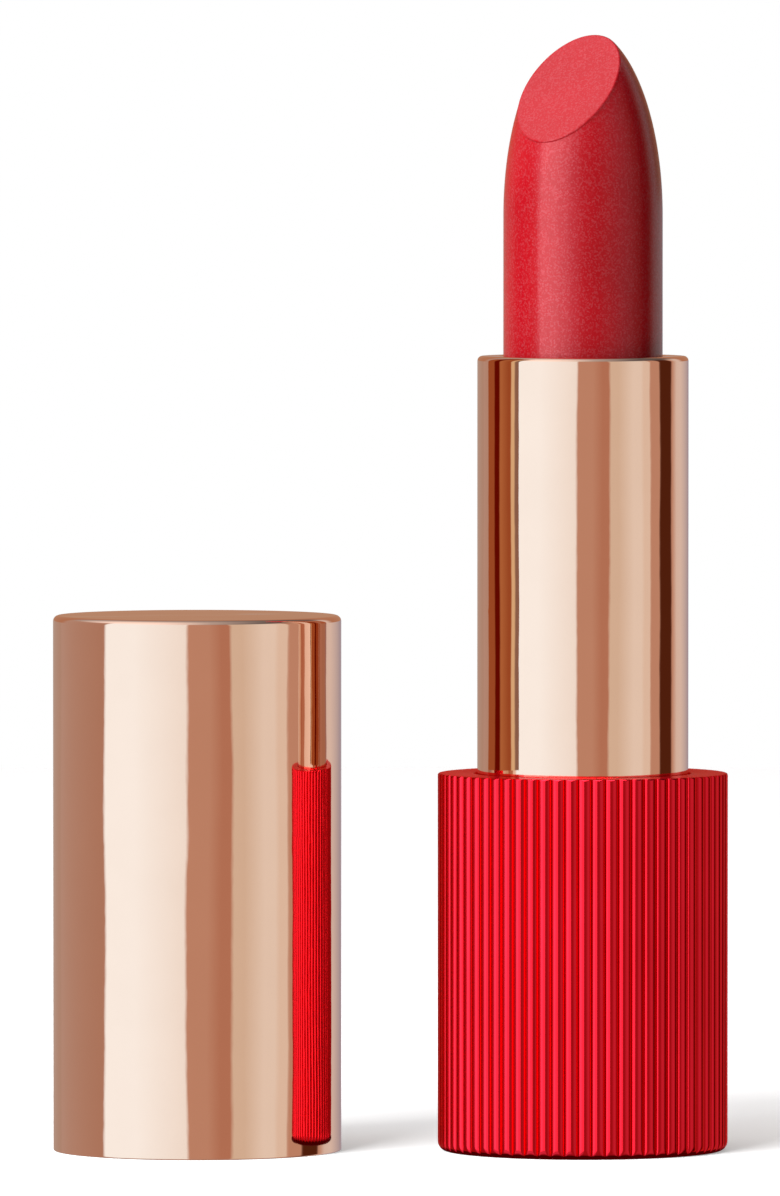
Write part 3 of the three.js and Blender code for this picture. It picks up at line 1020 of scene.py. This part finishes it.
# %% Striped card
CARD_FRONT = -8.8
CARD_BACK = 1.5
CARD_RISE = 15
CARD_SHIFT = 0.8
AMBER = "#b6784c"
COPPER = "#a25c36"
OXBLOOD = "#660e00"
STRAW = "#e4d2aa"
STRIPES = [
    # from, to, as shares of the way from the back edge to the front one, and the stripe's colour
    (0.0, 0.25, COPPER),
    (0.29, 0.42, OXBLOOD),
    (0.46, 0.5, AMBER),
    (0.7, 0.76, COPPER),
    (0.79, 0.86, STRAW),
    (0.9, 1.0, BROWN),
]
card_x = (cap.middle + cap.radius - sleeve.radius) / 2 + CARD_SHIFT
card_finish, card_tree, card_place = start_finish("striped_card")
across = add(card_tree, "SeparateXYZ", {}, {"Vector": card_place}).outputs["Y"]
span = add(card_tree, "MapRange", {"From Min": CARD_BACK, "From Max": CARD_FRONT},
           {"Value": across})
stripes = add(card_tree, "ValToRGB", {"stops": flat_bands(STRIPES, 0, 1)},
              {"Fac": span.outputs["Result"]})
glow = add(card_tree, "Emission", {}, {"Color": stripes.outputs["Color"]})
one_sided = add(card_tree, "MixShader", {}, {
    0: add(card_tree, "NewGeometry").outputs["Backfacing"],
    1: glow.outputs[0],
    2: add(card_tree, "BsdfTransparent").outputs[0],
})
add(card_tree, "OutputMaterial", {}, {"Surface": one_sided.outputs[0]})


def upright_sheet(name, finish, x, span_y, span_z):
    """A flat sheet of the studio that faces right, shown by its own finish and never in the shot."""
    sheet = bmesh.new()
    bmesh.ops.create_grid(sheet, x_segments=1, y_segments=1, size=0.5)
    bmesh.ops.rotate(sheet, verts=sheet.verts, cent=(0, 0, 0),
                     matrix=Matrix.Rotation(math.radians(90), 3, "Y"))
    wide = span_y[1] - span_y[0]
    tall = span_z[1] - span_z[0]
    bmesh.ops.scale(sheet, verts=sheet.verts, vec=(1, wide * MM, tall * MM))
    middle = Vector((x, sum(span_y) / 2, sum(span_z) / 2))
    bmesh.ops.translate(sheet, verts=sheet.verts, vec=middle * MM)
    thing = studio_thing(sheet, name, finish)
    thing.visible_camera = False
    thing.visible_shadow = False
    return thing


card = upright_sheet("striped_card", card_finish, card_x, (CARD_FRONT, CARD_BACK),
                     (sleeve.top, tube.top + CARD_RISE))
card.visible_diffuse = False

# %% [markdown]
# A black flag on the right takes light away from the far side of the bullet, as a photographer does
# to make a round thing look round. Polished metal doesn't see it.

# %% Black flag
FLAG_X = 58
FLAG_Y = (-85, 65)
FLAG_Z = (35, 145)
velvet, velvet_tree, velvet_place = start_finish("black_velvet")
nap = add(velvet_tree, "TexNoise", {"Scale": 1 / 2}, {"Vector": velvet_place})
pile = add(velvet_tree, "ValToRGB", {"stops": [(0.3, "#0c0606"), (0.7, "#100808")]},
           {"Fac": nap.outputs["Fac"]})
end_finish(velvet, velvet_tree, {"Roughness": 1.0, "Specular IOR Level": 0.0},
           {"Base Color": pile.outputs["Color"]})
flag = upright_sheet("black_flag", velvet, FLAG_X, FLAG_Y, FLAG_Z)
flag.visible_glossy = False

# %% [markdown]
# Under the foot no light gets in, so the chamfer there mirrors a dark line, which sets the case down
# on the table. The table isn't mirrored, so a dark red disc just above it stands for that line.

# %% Dark under the foot
DISC_MARGIN = 0.1
DISC_HEIGHT = 0.02
shade_disc_finish, shade_disc_tree, _ = start_finish("dark_gap")
# The disc glows a dark red that only reflections see: a painted shade under the foot, where no light
# gets in.
shade_disc_glow = add(shade_disc_tree, "Emission", {"Color": linear("#521a1c")})
add(shade_disc_tree, "OutputMaterial", {}, {"Surface": shade_disc_glow.outputs[0]})
shade_disc_mesh = bmesh.new()
bmesh.ops.create_circle(shade_disc_mesh, cap_ends=True, segments=96,
                        radius=(sleeve.radius + DISC_MARGIN) * MM,
                        matrix=Matrix.Translation((0, 0, DISC_HEIGHT * MM)))
shade_disc = studio_thing(shade_disc_mesh, "dark_gap", shade_disc_finish)
shade_disc.visible_camera = False
shade_disc.visible_diffuse = False
shade_disc.visible_shadow = False

# %% [markdown]
# ## Soft boxes
#
# The wax and the red ribs are duller than the polished metal, so the cards alone leave them flat.
# Soft boxes from the front left give both their sheen, one nearly overhead puts a bright point on
# the end of each rib, and one lights the table and lays the shadows back over it. Two more are for
# the wax alone: one brightens its left without any gloss, and one, high at the back left, gives the
# slant cut its pale sheen. Light linking keeps each box to its own piece, because in the polished
# tube its frame would show as one more stripe.

# %% Soft boxes
AIM = Vector((0, 0, 45))
Box = namedtuple("Box", "name bearing away height wide tall radiance lit")
BOXES = [
    # bearing is 0 in front and -90 on the left
    Box("pearl_box_0", -60, 500, 170, 140, 560, 4.1, "wax_bullet"),
    Box("pearl_box_1", -44, 500, 170, 140, 560, 4.1, "wax_bullet"),
    Box("pearl_box_2", -28, 500, 170, 140, 560, 2.3, "wax_bullet"),
    Box("pearl_box_3", -12, 500, 170, 140, 560, 0.4, "wax_bullet"),
    Box("rib_box", -53, 500, 170, 280, 560, 2.4, "ribbed_sleeve"),
    Box("dim_box", -22, 500, 170, 280, 560, 1.0, "ribbed_sleeve"),
    Box("rim_box", -50, 60, 420, 320, 320, 12.0, "ribbed_sleeve"),
    Box("table_box", -34, 600, 260, 400, 300, 22.0, "table"),
    Box("side_box", -85, 350, 395, 300, 300, 3.3, "wax_bullet"),
    Box("cut_box", -110, 290, 490, 260, 260, 1.1, "wax_bullet"),
]


def soft_box(box):
    """A glowing rectangle that faces the case and lights one piece only."""
    turn = math.radians(box.bearing)
    place = Vector((math.sin(turn) * box.away, -math.cos(turn) * box.away, box.height))
    light = bpy.data.lights.new(box.name, "AREA")
    light.shape = "RECTANGLE"
    light.size = box.wide * MM
    light.size_y = box.tall * MM
    light.energy = box.radiance * math.pi * light.size * light.size_y
    lamp = bpy.data.objects.new(box.name, light)
    bpy.context.scene.collection.objects.link(lamp)
    lamp.location = place * MM
    lamp.rotation_euler = (AIM - place).to_track_quat("-Z", "Y").to_euler()
    pieces = bpy.data.collections.new("lit_by_" + box.name)
    pieces.objects.link(bpy.data.objects[box.lit])
    lamp.light_linking.receiver_collection = pieces
    return lamp


lamps = {box.name: soft_box(box) for box in BOXES}
lamps["side_box"].visible_glossy = False
bpy.context.scene.cycles.caustics_reflective = False
print(len(lamps), "soft boxes")

# %% Camera
CAMERA_DISTANCE = 1150
CAMERA_HEIGHT = 85
AIM_X = -14.65
AIM_HEIGHT = 42.0
SENSOR = 36
FOCAL_LENGTH = 456
eye = Vector((AIM_X, -CAMERA_DISTANCE, CAMERA_HEIGHT)) * MM
aim = Vector((AIM_X, 0, AIM_HEIGHT)) * MM
lens = bpy.data.cameras.new("catalogue_camera")
lens.sensor_fit = "AUTO"
lens.sensor_width = SENSOR
lens.lens = FOCAL_LENGTH
camera = bpy.data.objects.new("catalogue_camera", lens)
bpy.context.scene.collection.objects.link(camera)
camera.location = eye
camera.rotation_euler = (aim - eye).to_track_quat("-Z", "Y").to_euler()
bpy.context.scene.camera = camera
bpy.context.scene.view_settings.view_transform = "Standard"
